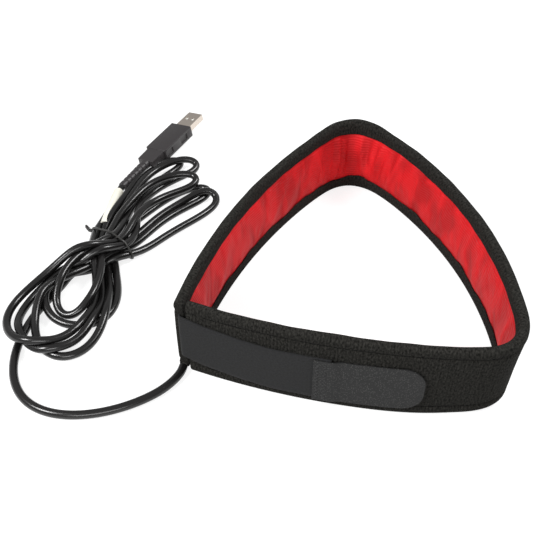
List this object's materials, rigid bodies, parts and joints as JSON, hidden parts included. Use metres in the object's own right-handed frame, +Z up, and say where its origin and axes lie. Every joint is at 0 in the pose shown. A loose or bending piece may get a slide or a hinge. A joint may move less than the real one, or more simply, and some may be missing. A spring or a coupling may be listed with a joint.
{
  "type": "telescope dew heater strip",
  "caption": "Padded fabric heater strip closed in a loop by a hook-and-loop strap, with a coiled USB power cable and plug.",
  "frame": {"origin": "under the middle of the strip's loop, on the surface that it stands on", "axes": "+Z up, +X to the right along the strapped front of the loop, +Y from the front to the back corner of the loop"},
  "size_m": [0.2834, 0.279, 0.05],
  "materials": {
    "loop_pile": "black brushed loop pile, matt",
    "red_nylon": "fine ribbed red nylon, low sheen",
    "foam": "grey closed-cell foam",
    "carrier_tape": "amber heat-proof film",
    "heating_alloy": "bare resistance wire",
    "tinned_brass": "tinned crimp",
    "red_insulation": "red wire insulation",
    "black_insulation": "black wire insulation",
    "glue": "dark hot-melt glue",
    "black_thread": "black sewing thread",
    "strap_webbing": "smooth dark grey woven strap",
    "hook_tape": "dark grey hook tape, fine speckle",
    "cable_jacket": "glossy black PVC",
    "tie_jacket": "black plastic-coated wire",
    "paper_label": "blank off-white label",
    "nickel_plate": "nickel-plated sheet, satin",
    "insulator": "white moulded insulator",
    "gold_plate": "gold-plated spring contact",
    "plug_rubber": "dark grey moulded PVC, fine matt"
  },
  "bodies": {
    "root": {"outer_shell": "loop_pile", "red_lining": "red_nylon", "foam_pad": "foam", "heater_tape": "carrier_tape", "heater_wire": "heating_alloy", "crimp_lower": "tinned_brass", "crimp_upper": "tinned_brass", "lead_wire_lower": "red_insulation", "lead_wire_upper": "black_insulation", "cable_anchor": "glue", "top_hem_thread": "black_thread", "bottom_hem_thread": "black_thread", "closing_strap": "strap_webbing", "hook_tab": "hook_tape", "tab_stitching_outer": "black_thread", "tab_stitching_inner": "black_thread", "cable_lead": "cable_jacket", "cable_hank": "cable_jacket", "cable_tail": "cable_jacket", "twist_tie": "tie_jacket", "cable_label": "paper_label", "plug_shell": "nickel_plate", "plug_tongue": "insulator", "plug_contact_1": "gold_plate", "plug_contact_2": "gold_plate", "plug_contact_3": "gold_plate", "plug_contact_4": "gold_plate", "plug_grip": "plug_rubber", "plug_strain_relief": "plug_rubber"}
  },
  "joints": []
}
